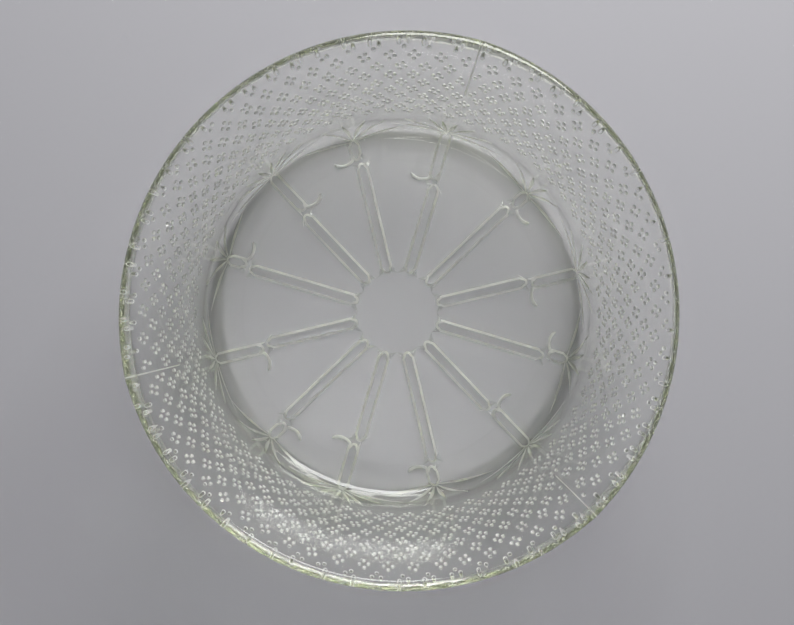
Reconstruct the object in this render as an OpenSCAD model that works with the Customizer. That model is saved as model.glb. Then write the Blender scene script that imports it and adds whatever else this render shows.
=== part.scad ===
// Pressed-glass bowl: one clear moulding with a flat base, a steep wall that flares
// to a rounded rim, and twelve sprig stems sunk in the underside of the base.
//
// The outside was pressed in a mould of three equal thirds. Each third is round about
// an axis of its own, a little beyond the middle of the bowl, so the thirds meet in
// three soft corners, each with a fine seam line. The inside, pressed by a plunger, is
// round about the axis of the bowl.
//
// Origin: the centre of the base, on the surface that the bowl stands on. +Z is up.

/* [Bowl] */
// Diameter of the rim, measured between the middles of the mould thirds
rim_d = 191; // [160:1:230]
// Height from the standing ring to the top of the rim
bowl_h = 70; // [55:1:90]
// Thickness of the wall
wall_t = 4.5; // [3:0.1:6]
// Slope of the wall from upright where it leaves the base, in degrees
slope_low = 7.5; // [2:0.5:12]
// Slope of the wall from upright at the rim, in degrees
slope_high = 40; // [14:0.5:46]
// How late the wall flares: 1 is evenly from the base up, more is nearer to the rim
flare_late = 3.8; // [1:0.1:5]

/* [Base] */
// Thickness of the base, measured at the standing ring
base_t = 5; // [3.5:0.1:8]
// Radius of the outside corner between the standing ring and the wall
corner_r = 9; // [7:0.5:14]
// Radius of the inside corner between the floor and the wall
floor_corner_r = 7; // [4:0.5:10]
// Width of the flat standing ring
ring_w = 3; // [2:0.5:6]
// Depth of the shallow recess inside the standing ring
recess_h = 0.8; // [0.3:0.1:1.6]
// Width of the gentle slope between the recess and the standing ring
recess_slope_w = 8; // [3:0.5:14]

/* [Mould] */
// How far a corner at a seam stands out beyond the middle of a mould third
seam_out = 1.6; // [0.4:0.1:3]
// Direction of the first seam, in degrees from +X
seam_dir = 73.5; // [0:0.5:120]
// Width of a seam line
seam_w = 0.6; // [0.4:0.1:1.2]
// How far a seam line stands out of the glass
seam_h = 0.15; // [0.1:0.05:0.4]

/* [Sprig stems] */
// Number of stems round the base, long and short in turn
stem_count = 12; // [6:2:16]
// Width of a stem
stem_w = 4; // [2:0.1:4.5]
// Depth of a stem, sunk in the outside of the glass
stem_depth = 0.5; // [0.3:0.05:0.8]
// Radius of the plain round in the middle of the base, where the stems start
plain_r = 16; // [12:0.5:22]
// How far a long stem runs up the corner, beyond the standing ring
long_end = 6; // [3:0.5:8]
// How far a short stem runs up the corner, beyond the standing ring
short_end = 2; // [0:0.5:4]
// Length of a long stem beyond its joint
long_tip = 23; // [16:0.5:26]
// Length of a short stem beyond its joint
short_tip = 9; // [7:0.5:14]
// Sideways step of a stem at its joint
joint_step = 1.2; // [0:0.1:1.6]
// Length of the twig that leaves a stem at its joint
twig_len = 9; // [5:0.5:11]
// Width of that twig
twig_w = 1.2; // [0.8:0.1:1.8]
// Angle between the twig and the way to the centre, in degrees
twig_angle = 70; // [55:1:85]

/* [Hidden] */

$fn = 96;
// Steps of the curved wall, of a quarter-round corner and of one of the rim's rounds
WALL_STEPS = 14;
CORNER_STEPS = 5;
RIM_STEPS = 5;
// How far a cutter runs past the face it cuts
PAST = 1;
// The outside's profile runs this far past the base and the rim, which are cut flat
FLAT_CUT = 0.02;
// Half the angle that a third of the mould takes up
HALF_THIRD = 60;

rim_r = rim_d / 2;
rim_round = wall_t / 2;
// Rise of the wall's outside, between the corner and the rim's round
wall_rise = bowl_h + 2 * FLAT_CUT
    - corner_r * (1 - sin(slope_low)) - rim_round * (1 + sin(slope_high));
// A third's own axis lies this far beyond the bowl's axis, away from the third
third_shift = seam_out / (1 - cos(HALF_THIRD));

// A share s of the way up the wall: 0 is at the corner, 1 is at the rim's round
function slope_at(s) = slope_low + (slope_high - slope_low) * pow(max(s, 0), flare_late);
function total(v, i = 0) = i >= len(v) ? 0 : v[i] + total(v, i + 1);
// How far the wall runs outwards from share s to its top, summed in slices
function run_above(s, slices = 24) =
    (1 - s) * wall_rise / slices
        * total([for (i = [0.5 : slices]) tan(slope_at(s + (1 - s) * i / slices))]);

// Centre of the rim's outer round, and the top and foot of the wall's outside
rim_c = [rim_r - rim_round, bowl_h + FLAT_CUT - rim_round];
wall_top = rim_c + rim_round * [cos(slope_high), -sin(slope_high)];
wall_foot = wall_top - [run_above(0), wall_rise];
// Centre of the outside corner, which stands over the outer edge of the standing ring
corner_c = wall_foot + corner_r * [-cos(slope_low), sin(slope_low)];
ring_r = corner_c[0];

// Point of the wall at share s, moved t into the glass
function wall_point(s, t = 0) =
    wall_top - [run_above(s), (1 - s) * wall_rise] + t * [-cos(slope_at(s)), sin(slope_at(s))];
// The points lie closer together towards the rim, where the wall bends most
function wall_points(from, t = 0) =
    [for (i = [0 : WALL_STEPS]) wall_point(from + (1 - from) * sqrt(i / WALL_STEPS), t)];
function arc(c, r, from, to, steps) =
    [for (i = [0 : steps]) let (a = from + (to - from) * i / steps) c + r * [cos(a), sin(a)]];
// The points of a list but its first, which the list before it ends with
function rest(v) = [for (i = [1 : len(v) - 1]) v[i]];

bowl();

module bowl() {
    color([0.72, 0.75, 0.70, 0.45])
        difference() {
            intersection() {
                mould_form(outside_points(), seam_h);
                cylinder(r = 2 * rim_r, h = bowl_h);
            }
            hollow();
            recess();
            stem_grooves();
        }
}

// A form of the mould, from the points of its profile: three thirds and their seams
module mould_form(points, seam_h) {
    low = [0, points[0][1]];
    high = [0, points[len(points) - 1][1]];
    for (n = [0 : 2])
        rotate(seam_dir + 2 * HALF_THIRD * n) {
            rotate(HALF_THIRD)
                mould_third(points, low, high);
            mould_seam(points, low, high, seam_h);
        }
}

// A third is a turn of the profile about the third's own axis, kept where it faces its
// own 120 degrees and stops short of the middle of the seams beside it
module mould_third(points, low, high) {
    reach = 2 * rim_r;
    intersection() {
        translate([-third_shift, 0, 0])
            rotate_extrude()
                polygon(concat([low], [for (p = points) p + [third_shift, 0]], [high]));
        translate([seam_w / 4, 0, low[1] - PAST])
            linear_extrude(high[1] - low[1] + 2 * PAST)
                polygon([
                    [0, 0],
                    reach * [cos(HALF_THIRD), -sin(HALF_THIRD)],
                    [reach, 0],
                    reach * [cos(HALF_THIRD), sin(HALF_THIRD)]
                ]);
    }
}

// A seam is a thin upright wall between two thirds, which stands out of them by seam_h
module mould_seam(points, low, high, seam_h) {
    rotate([90, 0, 0])
        linear_extrude(seam_w, center = true)
            polygon(concat([low], [for (p = points) [seam_r(p[0]) + seam_h, p[1]]], [high]));
}

// Distance from the bowl's axis to the corner between two thirds of radius r
function seam_r(r) =
    sqrt(pow(r + third_shift, 2) - pow(third_shift * sin(HALF_THIRD), 2))
        - third_shift * cos(HALF_THIRD);

// Outside of the bowl, from the standing ring to the top of the rim
function outside_points() = concat(
    arc(corner_c, corner_r, -90, -slope_low, CORNER_STEPS),
    rest(wall_points(0)),
    rest(arc(rim_c, rim_round, -slope_high, 90, RIM_STEPS))
);

// Where the inside corner meets the wall: the share that brings its foot to the floor
function inside_foot(lo = -0.3, hi = 0.5, tries = 24) =
    let (mid = (lo + hi) / 2)
    tries == 0 ? mid
    : inside_corner_c(mid)[1] - floor_corner_r > base_t
        ? inside_foot(lo, mid, tries - 1)
        : inside_foot(mid, hi, tries - 1);
function inside_corner_c(s) =
    wall_point(s, wall_t) + floor_corner_r * [-cos(slope_at(s)), sin(slope_at(s))];

// The inside, round about the bowl's own axis and open past the rim
module hollow() {
    foot = inside_foot();
    mouth_r = rim_c[0];
    rotate_extrude()
        polygon(concat(
            [[0, base_t]],
            arc(inside_corner_c(foot), floor_corner_r, -90, -slope_at(foot), CORNER_STEPS),
            rest(wall_points(foot, wall_t)),
            rest(arc(rim_c, rim_round, 180 - slope_high, 90, RIM_STEPS)),
            [[mouth_r, bowl_h + PAST], [0, bowl_h + PAST]]
        ));
}

// The shallow recess that leaves the standing ring
module recess() {
    rotate_extrude()
        polygon([
            [0, -PAST], [ring_r - ring_w, -PAST], [ring_r - ring_w, 0],
            [ring_r - ring_w - recess_slope_w, recess_h], [0, recess_h]
        ]);
}

// The stems are sunk to one depth, in the recess, across the ring and up the corner
module stem_grooves() {
    difference() {
        translate([0, 0, -PAST])
            linear_extrude(corner_r)
                stem_outlines();
        mould_form(groove_floor_points(), 0);
    }
}

// The underside moved into the glass by the depth of a stem
function groove_floor_points() =
    let (corner = arc(corner_c, corner_r - stem_depth, -90, -slope_low, CORNER_STEPS))
    concat(
        [[ring_r - ring_w - recess_slope_w, recess_h + stem_depth], [ring_r - ring_w, stem_depth]],
        corner,
        [[corner[CORNER_STEPS][0], corner_r]]
    );

module stem_outlines() {
    for (i = [0 : stem_count - 1])
        rotate(seam_dir + 360 / stem_count * i) {
            side = i % 4 < 2 ? 1 : -1;
            if (i % 2 == 0)
                stem_outline(ring_r + long_end, long_tip, side);
            else
                stem_outline(ring_r + short_end, short_tip, side);
        }
}

// A stem along +X: its inner length, a sideways step at the joint, its tip and a twig
module stem_outline(end_r, tip, side) {
    joint_r = end_r - tip;
    translate([plain_r, -stem_w / 2])
        square([joint_r - plain_r, stem_w]);
    translate([joint_r - joint_step, side * joint_step - stem_w / 2])
        square([tip + joint_step, stem_w]);
    translate([joint_r, side * (joint_step + stem_w / 2 - twig_w)])
        rotate(side * (180 - twig_angle))
            translate([0, -twig_w / 2])
                square([twig_len, twig_w]);
}
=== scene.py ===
import math
import random

import bpy
import numpy as np
from mathutils import Matrix, Vector
from mathutils.geometry import delaunay_2d_cdt


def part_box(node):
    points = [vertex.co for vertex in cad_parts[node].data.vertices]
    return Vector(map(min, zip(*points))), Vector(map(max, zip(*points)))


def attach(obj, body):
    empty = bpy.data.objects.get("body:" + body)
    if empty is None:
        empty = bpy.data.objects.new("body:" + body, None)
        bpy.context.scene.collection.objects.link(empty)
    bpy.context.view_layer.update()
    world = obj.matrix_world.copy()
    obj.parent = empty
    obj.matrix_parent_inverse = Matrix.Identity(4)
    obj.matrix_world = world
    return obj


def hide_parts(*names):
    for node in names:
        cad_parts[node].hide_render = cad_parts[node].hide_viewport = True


bl_info = {
    "name": "Pressed Glass Bowl",
    "version": (1, 0, 0),
    "blender": (4, 5, 0),
    "location": "View3D > Sidebar > Glass Bowl",
    "description": "A clear pressed-glass bowl with sprigs and dot florets on its outside",
    "category": "Add Mesh",
}

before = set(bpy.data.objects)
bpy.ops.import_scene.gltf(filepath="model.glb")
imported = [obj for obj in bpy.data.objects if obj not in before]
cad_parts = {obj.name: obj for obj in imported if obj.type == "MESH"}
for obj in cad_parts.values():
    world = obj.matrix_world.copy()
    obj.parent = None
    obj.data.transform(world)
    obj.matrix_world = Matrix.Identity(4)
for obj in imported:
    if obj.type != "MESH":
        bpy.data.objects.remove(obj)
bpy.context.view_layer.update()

MM = 0.001
TURN = 2 * math.pi
SEED = 7

# Steps of the mesh round the bowl, and of each part of the profiles
ROUND_STEPS = 240
OUTSIDE_CORNER_STEPS = 90
OUTSIDE_WALL_STEPS = 240
FLOOR_STEPS = 6
INSIDE_CORNER_STEPS = 9
INSIDE_WALL_STEPS = 24
RIM_STEPS = 12
DOT_STEPS = 8

# A sprig, in millimetres and degrees. Its stem starts at a plain round in the middle of
# the base and ends beyond the standing ring; the joint lies short of that end. The fan
# gives the heading of each leaf from the stem's own.
STEM_START = 18
LONG_SPRIG = {"end": 7.5, "tip": 23, "fan": (-84, -62, -38, -12, 16, 40, 64, 84)}
SHORT_SPRIG = {"end": 2.5, "tip": 10, "fan": (-80, -50, -20, 14, 46, 80)}
JOINT_STEP = 1.3
JOINT_GAP = 2.2
TWIG_STEPS = 6
WIDEST_LEAN = 84

# Rings of mesh points on the flat of the base: radius in millimetres and number of points
BASE_RINGS = ((0, 1), (8, 12), (16, 24), (25, 40), (34, 60), (43, 80), (51, 120))
# Rings of mesh points on the corner, and the way between two rings on the wall
CORNER_RINGS = 9
WALL_RING_GAP = 2.2 * MM

# Glass that slopes less than the first from the plain form is level, and at the second
# it is fully matt
LEVEL_SLOPE = 0.08
MATT_SLOPE = 0.25


class BowlSizes(bpy.types.PropertyGroup):
    rim_diameter: bpy.props.FloatProperty(
        name="Rim diameter",
        description="Across the rim, between the middles of two mould thirds",
        default=190.86 * MM, subtype="DISTANCE", unit="LENGTH",
    )
    height: bpy.props.FloatProperty(
        name="Height",
        description="From the standing ring to the top of the rim",
        default=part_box("bowl")[1].z, subtype="DISTANCE", unit="LENGTH",
    )
    wall: bpy.props.FloatProperty(
        name="Wall",
        description="Thickness of the wall",
        default=4.5 * MM, subtype="DISTANCE", unit="LENGTH",
    )
    slope_low: bpy.props.FloatProperty(
        name="Slope at the foot",
        description="Slope of the wall from upright where it leaves the base",
        default=math.radians(7.5), subtype="ANGLE", unit="ROTATION",
    )
    slope_high: bpy.props.FloatProperty(
        name="Slope at the rim",
        description="Slope of the wall from upright at the rim",
        default=math.radians(40), subtype="ANGLE", unit="ROTATION",
    )
    flare_late: bpy.props.FloatProperty(
        name="Late flare",
        description="1 flares evenly from the base up, more flares nearer to the rim",
        default=3.8,
    )
    base: bpy.props.FloatProperty(
        name="Base",
        description="Thickness of the base, measured at the standing ring",
        default=5.0 * MM, subtype="DISTANCE", unit="LENGTH",
    )
    corner: bpy.props.FloatProperty(
        name="Outside corner",
        description="Radius of the corner between the standing ring and the wall",
        default=9 * MM, subtype="DISTANCE", unit="LENGTH",
    )
    floor_corner: bpy.props.FloatProperty(
        name="Inside corner",
        description="Radius of the inside corner between the floor and the wall",
        default=7 * MM, subtype="DISTANCE", unit="LENGTH",
    )
    ring: bpy.props.FloatProperty(
        name="Standing ring",
        description="Width of the flat ring that the bowl stands on",
        default=3 * MM, subtype="DISTANCE", unit="LENGTH",
    )
    recess: bpy.props.FloatProperty(
        name="Recess",
        description="Depth of the recess inside the standing ring",
        default=0.8 * MM, subtype="DISTANCE", unit="LENGTH",
    )
    recess_slope: bpy.props.FloatProperty(
        name="Recess slope",
        description="Width of the slope between the recess and the standing ring",
        default=8 * MM, subtype="DISTANCE", unit="LENGTH",
    )
    seam_out: bpy.props.FloatProperty(
        name="Corner at a seam",
        description="How far the bowl stands out at a seam beyond the middle of a third",
        default=1.6 * MM, subtype="DISTANCE", unit="LENGTH",
    )
    seam_turn: bpy.props.FloatProperty(
        name="First seam",
        description="Direction of the first mould seam from +X",
        default=math.radians(73.5), subtype="ANGLE", unit="ROTATION",
    )


class ReliefSizes(bpy.types.PropertyGroup):
    stem_width: bpy.props.FloatProperty(
        name="Stem width",
        description="Width of a sprig's sunk stem",
        default=5.0 * MM, subtype="DISTANCE", unit="LENGTH",
    )
    stem_depth: bpy.props.FloatProperty(
        name="Stem depth",
        description="How deep a stem is sunk in the glass",
        default=0.45 * MM, subtype="DISTANCE", unit="LENGTH",
    )
    stem_side: bpy.props.FloatProperty(
        name="Stem side",
        description="Width of the slope at each side of a stem",
        default=1.0 * MM, subtype="DISTANCE", unit="LENGTH",
    )
    leaf_height: bpy.props.FloatProperty(
        name="Leaf height",
        description="How far a leaf stands out of the glass",
        default=0.5 * MM, subtype="DISTANCE", unit="LENGTH",
    )
    seam_height: bpy.props.FloatProperty(
        name="Seam height",
        description="How far the fine line of a mould seam stands out",
        default=0.15 * MM, subtype="DISTANCE", unit="LENGTH",
    )
    dot_radius: bpy.props.FloatProperty(
        name="Dot radius",
        description="Radius of each of a floret's four dots",
        default=0.85 * MM, subtype="DISTANCE", unit="LENGTH",
    )
    dot_height: bpy.props.FloatProperty(
        name="Dot height",
        description="How far a dot stands out of the glass",
        default=0.6 * MM, subtype="DISTANCE", unit="LENGTH",
    )
    dot_offset: bpy.props.FloatProperty(
        name="Dot offset",
        description="How far a dot lies from the floret's middle, along and across",
        default=1.13 * MM, subtype="DISTANCE", unit="LENGTH",
    )
    first_row: bpy.props.FloatProperty(
        name="First row",
        description="Height of the lowest row of florets",
        default=21.2 * MM, subtype="DISTANCE", unit="LENGTH",
    )
    row_step: bpy.props.FloatProperty(
        name="Row step",
        description="Way up the wall between two rows of florets",
        default=5.03 * MM, subtype="DISTANCE", unit="LENGTH",
    )
    rows: bpy.props.IntProperty(
        name="Rows",
        description="Number of rows of florets",
        default=10,
    )
    florets: bpy.props.IntProperty(
        name="Florets in a row",
        description="Number of florets in one row round the bowl",
        default=62,
    )


class GlassLook(bpy.types.PropertyGroup):
    tint: bpy.props.StringProperty(
        name="Tint",
        description="Colour of the light that thick glass lets through, as sRGB hex",
        default="#E5E9D0",
    )
    density: bpy.props.FloatProperty(
        name="Density",
        description="How strongly the glass takes up light, per metre",
        default=23.0,
    )
    refraction: bpy.props.FloatProperty(
        name="Index of refraction",
        description="Soda-lime glass bends light by about 1.52",
        default=1.52,
    )
    relief_roughness: bpy.props.FloatProperty(
        name="Relief roughness",
        description="Roughness of the slopes of the relief, which kept the mould's grain",
        default=0.3,
    )
    relief_white: bpy.props.FloatProperty(
        name="Relief white",
        description="Share of light that the slopes of the relief scatter as white",
        default=0.5,
    )


class StageLook(bpy.types.PropertyGroup):
    floor: bpy.props.StringProperty(
        name="Floor",
        description="Colour of the matt floor, as sRGB hex",
        default="#B4B3B7",
    )
    sky: bpy.props.StringProperty(
        name="Room",
        description="Colour of the light from the room, as sRGB hex",
        default="#E6E7EA",
    )
    sky_strength: bpy.props.FloatProperty(
        name="Ceiling strength",
        description="Strength of the light from the ceiling",
        default=1.2,
    )
    wall_strength: bpy.props.FloatProperty(
        name="Wall strength",
        description="Strength of the light from the walls of the room",
        default=0.12,
    )
    window_power: bpy.props.FloatProperty(
        name="Window power",
        description="Power of the window-shaped lamp, in watts",
        default=8.0,
    )


def linear(hex_text):
    """An sRGB hex colour as linear red, green, blue and alpha"""
    channels = [int(hex_text[i:i + 2], 16) / 255 for i in (1, 3, 5)]
    return [c / 12.92 if c <= 0.04045 else ((c + 0.055) / 1.055) ** 2.4 for c in channels] + [1]


def add_node(tree, kind, settings=None, links=None):
    """Adds a node; settings name its properties or input sockets, links its linked inputs"""
    node = tree.nodes.new(kind)
    for name, value in (settings or {}).items():
        if name in node.inputs:
            node.inputs[name].default_value = value
        else:
            setattr(node, name, value)
    for name, source in (links or {}).items():
        tree.links.new(source, node.inputs[name])
    return node


def deselect_all():
    """Leaves nothing selected, so that an operator acts on the new piece alone"""
    if bpy.context.object and bpy.context.object.mode != "OBJECT":
        bpy.ops.object.mode_set(mode="OBJECT")
    bpy.ops.object.select_all(action="DESELECT")


# ---- The plain form: profiles of the outside and the inside ----

def slope_at(b, share):
    """Slope of the wall from upright at a share of its rise"""
    bend = b.slope_high - b.slope_low
    return b.slope_low + bend * np.maximum(share, 0) ** b.flare_late


def wall_point(b, share, inwards=0.0):
    """Radius and height of the wall at a share of its rise, moved into the glass.

    Share 0 is at the outside corner and 1 at the rim's round. The run outwards is summed
    in thin slices, which start below the corner because the inside reaches lower.
    """
    rim_round = b.wall / 2
    rise = (b.height - b.corner * (1 - math.sin(b.slope_low))
            - rim_round * (1 + math.sin(b.slope_high)))
    slope = slope_at(b, share)
    slices = np.linspace(-0.4, 1, 1401)
    lean = np.tan(slope_at(b, slices))
    steps = (lean[1:] + lean[:-1]) / 2 * np.diff(slices) * rise
    gone = np.concatenate([[0], np.cumsum(steps)])
    run = gone[-1] - np.interp(share, slices, gone)
    top_r = b.rim_diameter / 2 - rim_round + rim_round * math.cos(b.slope_high)
    top_z = b.height - rim_round - rim_round * math.sin(b.slope_high)
    return (top_r - run - inwards * np.cos(slope),
            top_z - (1 - share) * rise + inwards * np.sin(slope))


def arc(centre, radius, start, end, steps):
    """Points of an arc, angles in radians, both ends included"""
    angles = np.linspace(start, end, steps + 1)
    return [(centre[0] + radius * math.cos(a), centre[1] + radius * math.sin(a)) for a in angles]


def outside_marks(b):
    """Radii where the underside changes: recess, inner and outer edge of the ring"""
    foot_r = wall_point(b, 0.0)[0]
    ring_out = float(foot_r - b.corner * math.cos(b.slope_low))
    ring_in = ring_out - b.ring
    return ring_in - b.recess_slope, ring_in, ring_out


class Outside:
    """The outside of the bowl: what lies at a length along its profile from the middle.

    chart is the radius of the same place on a flat chart of the outside, which keeps
    every small shape as it is, so that the mesh can be planned in the flat.
    """

    def __init__(self, b):
        recess_r, ring_in, ring_out = outside_marks(b)
        self.bowl = b
        self.ring_in = ring_in
        self.ring_out = ring_out
        points = [(0.0, b.recess), (recess_r, b.recess), (ring_in, 0.0), (ring_out, 0.0)]
        points += arc((ring_out, b.corner), b.corner, -TURN / 4, -b.slope_low,
                      OUTSIDE_CORNER_STEPS)[1:]
        share = np.linspace(0, 1, OUTSIDE_WALL_STEPS + 1)
        points += list(zip(*wall_point(b, share)))[1:]
        self.r = np.array([p[0] for p in points])
        self.z = np.array([p[1] for p in points])
        steps = np.hypot(np.diff(self.r), np.diff(self.z))
        self.along = np.concatenate([[0], np.cumsum(steps)])
        self.end = self.along[-1]
        # Beyond the flat middle the chart grows by the share of the radius that a step
        # along the profile is
        growth = 2 * steps[1:] / (self.r[1:-1] + self.r[2:])
        flat = np.concatenate([[0, 0], np.cumsum(growth)])
        self.chart = recess_r * np.exp(flat)
        self.chart[0] = 0.0

    def radius(self, along):
        return np.interp(along, self.along, self.r)

    def height(self, along):
        return np.interp(along, self.along, self.z)

    def to_chart(self, along):
        return np.interp(along, self.along, self.chart)

    def from_chart(self, chart):
        return np.interp(chart, self.chart, self.along)

    def along_at_height(self, height):
        """Place along the profile of a height on the wall"""
        wall = self.z > self.bowl.corner / 2
        return float(np.interp(height, self.z[wall], self.along[wall]))

    def point(self, turn, along, out):
        """Place of a point of the outside, raised by out above the plain glass"""
        step = 0.2 * MM
        a0 = np.maximum(along - step, 0)
        a1 = np.minimum(along + step, self.end)
        dr = self.radius(a1) - self.radius(a0)
        dz = self.height(a1) - self.height(a0)
        size = np.hypot(dr, dz)
        # Nothing is raised below the surface that the bowl stands on
        room = self.height(along) * size / np.maximum(dr, 1e-9)
        out = np.minimum(out, np.maximum(room, 0))
        r = self.radius(along)
        r = cornered(self.bowl, r, turn, np.clip((r - self.ring_in) / self.bowl.ring, 0, 1))
        r = r + out * dz / size
        z = self.height(along) - out * dr / size
        return np.stack([r * np.cos(turn), r * np.sin(turn), z], axis=-1)


def cornered(b, r, turn, share):
    """Radius with the three soft corners of the mould: each third has an axis of its own"""
    shift = 2 * b.seam_out
    third = TURN / 3
    off = (turn - b.seam_turn) % third - third / 2
    of_mould = np.sqrt((r + shift) ** 2 - (shift * np.sin(off)) ** 2) - shift * np.cos(off)
    return r + share * (of_mould - r)


def inside_profile(b):
    """Points of the inside from the middle of the floor up and over the rim"""
    # The inside corner meets the wall at the share that brings its foot to the floor
    shares = np.linspace(-0.3, 0.5, 801)
    slopes = slope_at(b, shares)
    r, z = wall_point(b, shares, b.wall)
    centre_r = r - b.floor_corner * np.cos(slopes)
    centre_z = z + b.floor_corner * np.sin(slopes)
    foot = float(np.interp(b.base + b.floor_corner, centre_z, shares))
    centre = (float(np.interp(foot, shares, centre_r)), b.base + b.floor_corner)
    foot_slope = float(np.interp(foot, shares, slopes))
    points = [(centre[0] * k / FLOOR_STEPS, b.base) for k in range(FLOOR_STEPS)]
    points += arc(centre, b.floor_corner, -TURN / 4, -foot_slope, INSIDE_CORNER_STEPS)
    # The points lie closer together towards the rim, where the wall bends most
    wall = foot + (1 - foot) * np.sqrt(np.linspace(0, 1, INSIDE_WALL_STEPS + 1))[1:]
    points += list(zip(*wall_point(b, wall, b.wall)))
    rim_round = b.wall / 2
    rim_centre = (b.rim_diameter / 2 - rim_round, b.height - rim_round)
    points += arc(rim_centre, rim_round, TURN / 2 - b.slope_high, -b.slope_high,
                  RIM_STEPS)[1:]
    return points


# ---- The relief: sunk stems, raised leaves, mould seams and dots ----

class Stroke:
    """A drawn line of the relief, with a width that changes along it.

    Its points are (across, along) in metres: along the profile from the middle of the
    base, and across from the line at the angle turn.
    """

    def __init__(self, turn, points, widths, out, side=None):
        self.turn = turn
        self.points = np.array(points, float)
        self.half = np.array(widths, float) / 2
        self.out = out
        self.side = side

    def local(self, outside, turn, along):
        """The points as (across, along) of this stroke"""
        off = (turn - self.turn + TURN / 2) % TURN - TURN / 2
        return np.stack([off * outside.radius(along), along], axis=-1)

    def depth_into(self, outside, turn, along):
        """How far inside the stroke's edge each point lies, and its half width there"""
        p = self.local(outside, turn, along)
        best = np.full(len(p), -1.0)
        width = np.full(len(p), 1e-6)
        for a, c, wa, wc in zip(self.points, self.points[1:], self.half, self.half[1:]):
            d = c - a
            t = np.clip(((p - a) @ d) / (d @ d), 0, 1)
            w = wa + (wc - wa) * t
            inside = w - np.linalg.norm(p - a - t[:, None] * d, axis=1)
            better = inside > best
            best = np.where(better, inside, best)
            width = np.where(better, w, width)
        return best, width

    def height_at(self, outside, turn, along):
        """How far the stroke raises each point: flat with sloped sides, or a low ridge"""
        into, width = self.depth_into(outside, turn, along)
        if self.side:
            return self.out * np.clip(into / self.side, 0, 1)
        share = np.clip(into / np.maximum(width, 1e-6), 0, 1)
        return self.out * share * (2 - share)

    def outline(self, inset):
        """Closed loop of local points at a distance inside the stroke's edge"""
        half = np.maximum(self.half - inset, 0.02 * MM)
        legs = np.diff(self.points, axis=0)
        legs /= np.linalg.norm(legs, axis=1)[:, None]
        tangents = np.vstack([legs[:1], legs[:-1] + legs[1:], legs[-1:]])
        tangents /= np.linalg.norm(tangents, axis=1)[:, None]
        normals = np.stack([-tangents[:, 1], tangents[:, 0]], axis=1)
        left = self.points + normals * half[:, None]
        right = self.points - normals * half[:, None]
        loop = list(left)
        loop += self.cap(self.points[-1], tangents[-1], half[-1])
        loop += list(right[::-1])
        loop += self.cap(self.points[0], -tangents[0], half[0])
        return np.array(loop)

    @staticmethod
    def cap(end, heading, radius):
        """Points of a round end, left to right, without the two side points"""
        if radius < 0.3 * MM:
            return [end + heading * radius]
        side = np.array([-heading[1], heading[0]])
        angles = np.radians([60, 30, 0, -30, -60])
        return [end + radius * (heading * math.cos(a) + side * math.sin(a)) for a in angles]


def curve(start, heading, length, bend, steps):
    """Points of a curved line: heading is from the way along, bend is over its length"""
    points = [np.array(start, float)]
    for i in range(steps):
        a = heading + bend * (i + 0.5) / steps
        points.append(points[-1] + length / steps * np.array([math.sin(a), math.cos(a)]))
    return points


def leaf(turn, start, heading, length, width, bend, out):
    """A slender leaf: pointed at both ends, widest a third of the way"""
    widths = [0.25, 0.75, 1.0, 0.85, 0.5, 0.08]
    points = curve(start, heading, length, bend, len(widths) - 1)
    return Stroke(turn, points, [w * width for w in widths], out)


def stem(turn, across, start, end, width, relief):
    """A sunk stem of even width with blunt ends"""
    taper = 1.2 * MM
    alongs = [start, start + taper, (start + end) / 2, end - taper, end]
    widths = [0.7 * width, width, width, width, 0.7 * width]
    return Stroke(turn, [(across, a) for a in alongs], widths, -relief.stem_depth,
                  relief.stem_side)


def sprig(turn, relief, outside, long, side, rng):
    """Strokes of one sprig: a jointed stem, a twig at the joint and leaves at its end"""
    shape = LONG_SPRIG if long else SHORT_SPRIG
    w = relief.stem_width
    end = outside.ring_out + shape["end"] * MM
    joint = end - shape["tip"] * MM
    gap = JOINT_GAP * MM
    step = JOINT_STEP * MM * side
    strokes = [stem(turn, 0, STEM_START * MM, joint - gap, w, relief),
               stem(turn, step, joint + gap, end - 2 * MM, w, relief)]
    start = (step + side * w * 0.42, joint + 1.0 * MM)
    twig = curve(start, side * math.radians(125), 8 * MM, side * math.radians(-85), TWIG_STEPS)
    widths = [1.3 * MM] * TWIG_STEPS + [0.6 * MM]
    strokes.append(Stroke(turn, twig, widths, -relief.stem_depth))
    # Leaves that lean out more are longer, more slender and curl back a little
    for heading in shape["fan"]:
        lean = abs(heading) / WIDEST_LEAN
        length = (13 + 11 * lean ** 2 + rng.uniform(-1.5, 1.5)) * MM
        angle = math.radians(heading + rng.uniform(-4, 4))
        bend = -math.copysign(math.radians(6), heading) * lean
        start = (step + 1.6 * MM * math.sin(angle), end + 1.6 * MM * math.cos(angle) - 1.5 * MM)
        width = (1.8 - 0.5 * lean) * MM
        strokes.append(leaf(turn, start, angle, length, width, bend, relief.leaf_height))
    return strokes


def sprig_strokes(b, relief, outside, rng):
    """Strokes of the twelve sprigs, long and short in turn, with twigs on changing sides"""
    strokes = []
    for i in range(12):
        turn = b.seam_turn + TURN / 12 * i
        side = 1 if i % 4 < 2 else -1
        strokes += sprig(turn, relief, outside, i % 2 == 0, side, rng)
    return strokes


def seam_strokes(b, relief, outside):
    """The fine raised line of each mould seam, next to the rim; polishing took the rest"""
    low = outside.end - 26 * MM
    points = [(0, a) for a in np.linspace(low, outside.end - 0.4 * MM, 16)]
    widths = [0.2 * MM] + [0.6 * MM] * 14 + [0.3 * MM]
    return [Stroke(b.seam_turn + TURN / 3 * k, points, widths, relief.seam_height)
            for k in range(3)]


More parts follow.
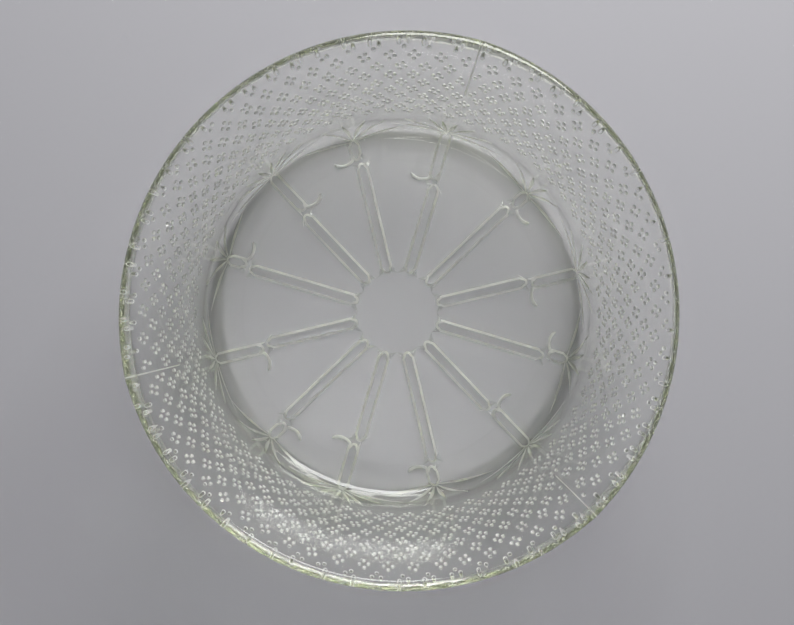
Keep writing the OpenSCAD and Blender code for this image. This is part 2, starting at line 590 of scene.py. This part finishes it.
def floret_dots(b, relief, outside, rng):
    """Middle of each dot, as its angle and its place along the profile"""
    dots = []
    lowest = outside.along_at_height(relief.first_row)
    for row in range(relief.rows):
        along = lowest + row * relief.row_step
        pitch = TURN / relief.florets
        for k in range(relief.florets):
            turn = (k + 0.5 * (row % 2) + rng.uniform(-0.06, 0.06)) * pitch
            at = along + rng.uniform(-0.3, 0.3) * MM
            tilt = math.radians(rng.uniform(-25, 25))
            for corner in range(4):
                a = tilt + TURN / 4 * corner
                reach = relief.dot_offset * math.sqrt(2)
                dots.append((turn + reach * math.cos(a) / outside.radius(at),
                             at + reach * math.sin(a)))
    return np.array(dots)


class Sheet:
    """Points and lines of the outside, gathered before they are joined into triangles"""

    def __init__(self, outside):
        self.outside = outside
        self.turn = []
        self.along = []
        self.out = []
        self.lines = []

    def add(self, turn, along, out=None):
        """Adds points; out is their height over the plain glass where it is known"""
        first = len(self.turn)
        turn = np.atleast_1d(turn)
        self.turn += list(turn)
        self.along += list(np.broadcast_to(along, turn.shape))
        known = np.full(turn.shape, np.nan) if out is None else np.broadcast_to(out, turn.shape)
        self.out += list(known)
        return list(range(first, len(self.turn)))

    def add_line(self, turn, along, closed):
        """Adds points and the line through them, whose height the strokes give later"""
        ids = self.add(turn, along)
        self.lines += list(zip(ids, ids[1:]))
        if closed:
            self.lines.append((ids[-1], ids[0]))


def split_long(points, most):
    """Adds points on the sides of a closed loop so that none is longer than most"""
    out = []
    for a, c in zip(points, np.roll(points, -1, axis=0)):
        pieces = max(1, math.ceil(np.linalg.norm(c - a) / most))
        out += [a + (c - a) * i / pieces for i in range(pieces)]
    return np.array(out)


def add_strokes(sheet, strokes):
    """The outlines and middles of the strokes, as lines that triangles keep to"""
    for s in strokes:
        for inset in (0.0, s.side) if s.side else (0.0,):
            loop = split_long(s.outline(inset), 2.5 * MM)
            r = sheet.outside.radius(loop[:, 1])
            sheet.add_line(s.turn + loop[:, 0] / r, loop[:, 1], True)
        if not s.side:
            r = sheet.outside.radius(s.points[:, 1])
            sheet.add_line(s.turn + s.points[:, 0] / r, s.points[:, 1], False)


def add_dots(sheet, dots, relief):
    """Each dot is a low dome with a flat top: its middle and two rings of points.

    Fire-polishing melted the dots next to the rim lower.
    """
    ring = np.arange(DOT_STEPS) * TURN / DOT_STEPS
    near = (sheet.outside.end - dots[:, 1]) / (6 * MM)
    height = relief.dot_height * np.clip(near, 0.15, 1)
    for share in (0.0, 0.62, 1.0):
        out = height * (1 - share ** 3.4)
        if share == 0.0:
            sheet.add(dots[:, 0], dots[:, 1], out)
            continue
        across = relief.dot_radius * share * np.cos(ring)
        along = dots[:, 1:] + relief.dot_radius * share * np.sin(ring)
        turn = dots[:, :1] + across / sheet.outside.radius(dots[:, 1:])
        sheet.add(turn.ravel(), along.ravel(), np.repeat(out, len(ring)))


def clear_of_strokes(outside, strokes, turn, along, room):
    """True where a point lies at least room outside every stroke's edge"""
    free = np.ones(len(turn), bool)
    for s in strokes:
        reach = np.abs(s.points[:, 0]).max() + 6 * MM
        low = s.points[:, 1].min() - 6 * MM
        high = s.points[:, 1].max() + 6 * MM
        near = (along > low) & (along < high)
        near &= np.abs(s.local(outside, turn, along)[:, 0]) < reach
        if not near.any():
            continue
        p = s.local(outside, turn[near], along[near])
        gap = np.full(len(p), 1.0)
        for a, c, wa, wc in zip(s.points, s.points[1:], s.half, s.half[1:]):
            d = c - a
            t = np.clip(((p - a) @ d) / (d @ d), 0, 1)
            far = np.linalg.norm(p - a - t[:, None] * d, axis=1) - wa - (wc - wa) * t
            gap = np.minimum(gap, far)
        free[np.flatnonzero(near)[gap < room]] = False
    return free


def filler(b, outside):
    """Even points over the plain glass, in rings closer together where it curves"""
    turns = []
    alongs = []
    for radius, count in BASE_RINGS:
        turns.append(np.arange(count) * TURN / count)
        alongs.append(np.full(count, radius * MM))
    # The ring of the recess's edge and the two edges of the standing ring
    edge = outside.along[[1, 2, 3]]
    corner = b.corner * (TURN / 4 - b.slope_low)
    rings = list(edge) + [(edge[0] + edge[1]) / 2, (edge[1] + edge[2]) / 2]
    rings += list(edge[2] + corner * np.arange(1, CORNER_RINGS) / CORNER_RINGS)
    wall_rings = int((outside.end - edge[2] - corner) / WALL_RING_GAP)
    rings += list(np.linspace(edge[2] + corner, outside.end, wall_rings + 1)[:-1])
    step = TURN / ROUND_STEPS
    for i, along in enumerate(rings):
        turns.append((np.arange(ROUND_STEPS) + 0.5 * (i % 2)) * step)
        alongs.append(np.full(ROUND_STEPS, along))
    return np.concatenate(turns), np.concatenate(alongs)


def clear_of_dots(outside, dots, turn, along, room):
    """True where a point lies at least room from the middle of every dot"""
    free = np.ones(len(turn), bool)
    flat = outside.point(dots[:, 0], dots[:, 1], 0.0)
    places = outside.point(turn, along, 0.0)
    for i in range(0, len(turn), 500):
        gap = np.linalg.norm(places[i:i + 500, None] - flat[None], axis=2).min(axis=1)
        free[i:i + 500] = gap > room
    return free


def plan_relief(b, relief, outside):
    """The strokes, and the sheet of all points and lines that the outside is made of"""
    rng = random.Random(SEED)
    strokes = sprig_strokes(b, relief, outside, rng)
    strokes += seam_strokes(b, relief, outside)
    dots = floret_dots(b, relief, outside, rng)
    room = relief.dot_radius + 0.2 * MM
    dots = dots[clear_of_strokes(outside, strokes, dots[:, 0], dots[:, 1], room)]
    dots = dots[dots[:, 1] < outside.end - relief.dot_radius - 0.6 * MM]
    sheet = Sheet(outside)
    step = TURN / ROUND_STEPS
    sheet.add(np.arange(ROUND_STEPS) * step, outside.end, 0.0)
    add_strokes(sheet, strokes)
    add_dots(sheet, dots, relief)
    turn, along = filler(b, outside)
    keep = clear_of_strokes(outside, strokes, turn, along, 0.5 * MM)
    keep &= clear_of_dots(outside, dots, turn, along, relief.dot_radius + 0.45 * MM)
    sheet.add(turn[keep], along[keep], 0.0)
    return strokes, sheet


def stroke_heights(outside, strokes, turn, along):
    """How far the strokes raise or sink each point; where both do, they add up"""
    raised = np.zeros(len(turn))
    sunk = np.zeros(len(turn))
    for s in strokes:
        value = s.height_at(outside, turn, along)
        raised = np.maximum(raised, value)
        sunk = np.minimum(sunk, value)
    return raised + sunk


def relief_skin(b, relief):
    """Vertices, triangles and their slopes of the outside, up to the rim's round"""
    outside = Outside(b)
    strokes, sheet = plan_relief(b, relief, outside)
    chart = outside.to_chart(np.array(sheet.along))
    turns = np.array(sheet.turn)
    flat = np.stack([chart * np.cos(turns), chart * np.sin(turns)], axis=1) / MM
    made = delaunay_2d_cdt([Vector(p) for p in flat], sheet.lines, [], 0, 1e-5)
    places, _, faces, sources = made[:4]
    places = np.array([tuple(p) for p in places]) * MM
    turn = np.arctan2(places[:, 1], places[:, 0])
    along = outside.from_chart(np.hypot(places[:, 0], places[:, 1]))
    out = np.array([sheet.out[s[0]] if s else np.nan for s in sources])
    ask = np.flatnonzero(np.isnan(out))
    out[ask] = stroke_heights(outside, strokes, turn[ask], along[ask])
    # The last ring meets the spun rim, so it stays on the plain form
    out[along > outside.end - 0.01 * MM] = 0.0
    points = outside.point(turn, along, out)
    radius = np.maximum(outside.radius(along), 1 * MM)
    size = radius / np.maximum(outside.to_chart(along), 1 * MM)
    slopes = slopes_of(np.array(faces), places[:, :2], out, size)
    faces = [tuple(reversed(f)) for f in faces]
    return points, faces, slopes


class BOWL_OT_pressed_bowl(bpy.types.Operator):
    """Makes the bowl: a spun inside and rim, and an outside with its pressed relief"""
    bl_idname = "bowl.pressed_bowl"
    bl_label = "Pressed Bowl"

    def execute(self, context):
        b = context.scene.bowl_sizes
        relief = context.scene.bowl_relief
        shell = spun_inside(context, b)
        shell.name = "bowl_of_glass"
        corner_the_rim(shell.data, b)
        points, faces, slopes = relief_skin(b, relief)
        skin_mesh = bpy.data.meshes.new("relief_skin")
        skin_mesh.from_pydata([tuple(p) for p in points], [], faces)
        keep_relief_crisp(skin_mesh, slopes)
        skin = bpy.data.objects.new("relief_skin", skin_mesh)
        context.collection.objects.link(skin)
        skin.select_set(True)
        bpy.ops.object.join()
        bpy.ops.object.mode_set(mode="EDIT")
        bpy.ops.mesh.select_all(action="SELECT")
        bpy.ops.mesh.remove_doubles(threshold=0.004 * MM)
        bpy.ops.mesh.normals_make_consistent(inside=False)
        bpy.ops.object.mode_set(mode="OBJECT")
        bpy.ops.object.shade_smooth(keep_sharp_edges=True)
        shell.data.materials.clear()
        shell.data.materials.append(pressed_glass(context.scene.bowl_glass))
        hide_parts("bowl")
        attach(shell, "root")
        return {"FINISHED"}


def spun_inside(context, b):
    """The inside and the rim's round: their profile, drawn by extruding a point, and spun"""
    deselect_all()
    bpy.ops.mesh.primitive_plane_add(size=1 * MM)
    bpy.ops.object.mode_set(mode="EDIT")
    bpy.ops.mesh.select_all(action="SELECT")
    bpy.ops.mesh.merge(type="CENTER")
    profile = inside_profile(b)
    bpy.ops.transform.translate(value=(0, 0, profile[0][1]))
    for (r0, z0), (r1, z1) in zip(profile, profile[1:]):
        bpy.ops.mesh.extrude_region_move(
            TRANSFORM_OT_translate={"value": (r1 - r0, 0, z1 - z0)})
    bpy.ops.mesh.select_all(action="SELECT")
    bpy.ops.mesh.spin(steps=ROUND_STEPS, angle=TURN, center=(0, 0, 0), axis=(0, 0, 1))
    bpy.ops.mesh.select_all(action="SELECT")
    bpy.ops.mesh.remove_doubles(threshold=0.002 * MM)
    bpy.ops.object.mode_set(mode="OBJECT")
    return context.object


def corner_the_rim(mesh, b):
    """Moves the rim's outer round out to the mould's three corners, the inside not at all"""
    co = np.zeros(len(mesh.vertices) * 3)
    mesh.vertices.foreach_get("co", co)
    co = co.reshape(-1, 3)
    r = np.hypot(co[:, 0], co[:, 1])
    turn = np.arctan2(co[:, 1], co[:, 0])
    centre_r = b.rim_diameter / 2 - b.wall / 2
    centre_z = b.height - b.wall / 2
    on_round = np.hypot(r - centre_r, co[:, 2] - centre_z) < b.wall / 2 + 0.01 * MM
    angle = np.arctan2(co[:, 2] - centre_z, r - centre_r)
    # The move sets in gently over the first third of a turn from the inside
    share = np.clip((TURN / 2 - b.slope_high - angle) / (TURN / 3), 0, 1)
    share = np.where(on_round, share * share * (3 - 2 * share), 0)
    moved = cornered(b, r, turn, share)
    scale = np.where(r > 0, moved / np.maximum(r, 1e-9), 1)
    co[:, 0] *= scale
    co[:, 1] *= scale
    mesh.vertices.foreach_set("co", co.ravel())
    mesh.update()


def keep_relief_crisp(mesh, slopes):
    """Marks the slopes of the relief as matt and their edges to level glass as sharp"""
    matt = mesh.attributes.new("matt", "FLOAT", "FACE")
    share = (slopes - LEVEL_SLOPE) / (MATT_SLOPE - LEVEL_SLOPE)
    matt.data.foreach_set("value", np.clip(share, 0, 1))
    level = {}
    for face in mesh.polygons:
        for key in face.edge_keys:
            level.setdefault(key, []).append(slopes[face.index] < LEVEL_SLOPE)
    for edge in mesh.edges:
        if len(set(level.get(edge.key, []))) == 2:
            edge.use_edge_sharp = True


def slopes_of(faces, flat, out, scale):
    """How steeply each triangle of the relief rises from the plain glass"""
    a, c, d = (flat[faces[:, k]] for k in range(3))
    u = c - a
    v = d - a
    area = u[:, 0] * v[:, 1] - u[:, 1] * v[:, 0]
    rise_u = out[faces[:, 1]] - out[faces[:, 0]]
    rise_v = out[faces[:, 2]] - out[faces[:, 0]]
    gx = rise_u * v[:, 1] - rise_v * u[:, 1]
    gy = rise_v * u[:, 0] - rise_u * v[:, 0]
    return np.hypot(gx, gy) / np.maximum(np.abs(area), 1e-15) / scale[faces].mean(axis=1)


def pressed_glass(look):
    """Soda-lime glass, pressed in an iron mould and fire-polished: clear and glossy, with
    a faint green-grey tint in thick places and a slight wave in its skin"""
    material = bpy.data.materials.new("pressed_soda_lime_glass")
    material.use_nodes = True
    tree = material.node_tree
    tree.nodes.clear()
    place = add_node(tree, "ShaderNodeTexCoord")
    # The skin of pressed glass has soft waves, about 9 mm from one to the next
    wave = add_node(tree, "ShaderNodeTexNoise", {"Scale": 1 / (9 * MM), "Detail": 2.0},
                    {"Vector": place.outputs["Object"]})
    bump = add_node(tree, "ShaderNodeBump", {"Strength": 0.25, "Distance": 0.05 * MM},
                    {"Height": wave.outputs["Fac"]})
    haze = add_node(tree, "ShaderNodeMapRange", {"To Min": 0.01, "To Max": 0.05},
                    {"Value": wave.outputs["Fac"]})
    # The fine slopes of the relief kept the grain of the iron mould: they are matt and
    # scatter a share of the light as white
    matt = add_node(tree, "ShaderNodeAttribute", {"attribute_name": "matt"})
    rough = add_node(tree, "ShaderNodeMapRange", {"To Max": look.relief_roughness},
                     {"Value": matt.outputs["Fac"], "To Min": haze.outputs["Result"]})
    clear = add_node(tree, "ShaderNodeMapRange",
                     {"To Min": 1.0, "To Max": 1 - look.relief_white},
                     {"Value": matt.outputs["Fac"]})
    shader = add_node(tree, "ShaderNodeBsdfPrincipled",
                      {"Base Color": (1, 1, 1, 1), "IOR": look.refraction},
                      {"Normal": bump.outputs["Normal"], "Roughness": rough.outputs["Result"],
                       "Transmission Weight": clear.outputs["Result"]})
    body = add_node(tree, "ShaderNodeVolumeAbsorption",
                    {"Color": linear(look.tint), "Density": look.density})
    add_node(tree, "ShaderNodeOutputMaterial", None,
             {"Surface": shader.outputs["BSDF"], "Volume": body.outputs["Volume"]})
    return material


def matt_floor(look):
    """Smooth matt board, pale with a trace of violet: soft shadows and no gloss"""
    material = bpy.data.materials.new("matt_board")
    material.use_nodes = True
    tree = material.node_tree
    shader = tree.nodes["Principled BSDF"]
    place = add_node(tree, "ShaderNodeTexCoord")
    cloud = add_node(tree, "ShaderNodeTexNoise", {"Scale": 6.0, "Detail": 2.0},
                     {"Vector": place.outputs["Object"]})
    mottle = add_node(tree, "ShaderNodeMapRange", {"To Min": 0.85, "To Max": 0.95},
                      {"Value": cloud.outputs["Fac"]})
    tree.links.new(mottle.outputs["Result"], shader.inputs["Roughness"])
    shader.inputs["Base Color"].default_value = linear(look.floor)
    shader.inputs["Specular IOR Level"].default_value = 0.1
    return material


class BOWL_OT_stage(bpy.types.Operator):
    """Makes the pale floor, the light of the room and its window, and the camera"""
    bl_idname = "bowl.stage"
    bl_label = "Stage"

    def execute(self, context):
        look = context.scene.bowl_stage
        deselect_all()
        bpy.ops.mesh.primitive_plane_add(size=8, location=(0, 0, -0.2 * MM))
        floor = context.object
        floor.name = "floor"
        floor.data.materials.append(matt_floor(look))
        world = bpy.data.worlds.new("room")
        context.scene.world = world
        world.use_nodes = True
        paint_room(world.node_tree, look)
        add_window(context, look)
        add_camera(context)
        context.scene.view_settings.view_transform = "Standard"
        # Light that has met the floor still passes the glass unblurred and undimmed, so
        # the glass casts the light shadow of clear glass, and light that runs along
        # inside the wall finds its way out again
        cycles = context.scene.cycles
        cycles.blur_glossy = 0.0
        cycles.sample_clamp_indirect = 0.0
        cycles.max_bounces = 32
        cycles.transmission_bounces = 32
        cycles.glossy_bounces = 32
        return {"FINISHED"}


def paint_room(tree, look):
    """A room whose pale ceiling is brighter than its walls, blended by height"""
    place = add_node(tree, "ShaderNodeTexCoord")
    part = add_node(tree, "ShaderNodeSeparateXYZ", None, {"Vector": place.outputs["Generated"]})
    level = add_node(tree, "ShaderNodeMapRange",
                     {"From Min": 0.78, "From Max": 0.96, "To Min": look.wall_strength,
                      "To Max": look.sky_strength, "interpolation_type": "SMOOTHSTEP"},
                     {"Value": part.outputs["Z"]})
    sky = tree.nodes["Background"]
    sky.inputs["Color"].default_value = linear(look.sky)
    tree.links.new(level.outputs["Result"], sky.inputs["Strength"])


def add_window(context, look):
    """A lamp in the shape of a window, behind the bowl and a little to its right"""
    azimuth = math.radians(74)
    elevation = math.radians(35)
    far = 0.9
    lamp = bpy.data.lights.new("window", "AREA")
    lamp.shape = "RECTANGLE"
    lamp.size = 0.6
    lamp.size_y = 0.38
    lamp.energy = look.window_power
    window = bpy.data.objects.new("window", lamp)
    level = far * math.cos(elevation)
    place = Vector((level * math.cos(azimuth), level * math.sin(azimuth),
                    far * math.sin(elevation)))
    window.location = place
    window.rotation_euler = (-place).to_track_quat("-Z", "Y").to_euler()
    context.collection.objects.link(window)


def add_camera(context):
    """The camera looks almost straight down, from a little left of the bowl's middle"""
    data = bpy.data.cameras.new("camera")
    data.sensor_fit = "HORIZONTAL"
    data.sensor_width = 36
    data.lens = 46.7
    data.clip_start = 0.01
    camera = bpy.data.objects.new("camera", data)
    eye = Vector((-11.7 * MM, -2.1 * MM, 420 * MM))
    back = eye.normalized()
    right = Vector((0, 1, 0)).cross(back).normalized()
    up = back.cross(right)
    turn = Matrix((right, up, back)).transposed()
    camera.matrix_world = Matrix.Translation(eye) @ turn.to_4x4()
    context.collection.objects.link(camera)
    context.scene.camera = camera


class BOWL_PT_panel(bpy.types.Panel):
    """Lists the steps that make the bowl and its stage"""
    bl_label = "Glass Bowl"
    bl_idname = "BOWL_PT_panel"
    bl_space_type = "VIEW_3D"
    bl_region_type = "UI"
    bl_category = "Glass Bowl"

    def draw(self, context):
        for operator in (BOWL_OT_pressed_bowl, BOWL_OT_stage):
            self.layout.operator(operator.bl_idname)


CLASSES = (BowlSizes, ReliefSizes, GlassLook, StageLook, BOWL_OT_pressed_bowl, BOWL_OT_stage,
           BOWL_PT_panel)


def register():
    for cls in CLASSES:
        bpy.utils.register_class(cls)
    bpy.types.Scene.bowl_sizes = bpy.props.PointerProperty(type=BowlSizes)
    bpy.types.Scene.bowl_relief = bpy.props.PointerProperty(type=ReliefSizes)
    bpy.types.Scene.bowl_glass = bpy.props.PointerProperty(type=GlassLook)
    bpy.types.Scene.bowl_stage = bpy.props.PointerProperty(type=StageLook)


def unregister():
    del bpy.types.Scene.bowl_stage
    del bpy.types.Scene.bowl_glass
    del bpy.types.Scene.bowl_relief
    del bpy.types.Scene.bowl_sizes
    for cls in reversed(CLASSES):
        bpy.utils.unregister_class(cls)


def main():
    register()
    bpy.ops.bowl.pressed_bowl()
    bpy.ops.bowl.stage()


if __name__ == "__main__":
    main()
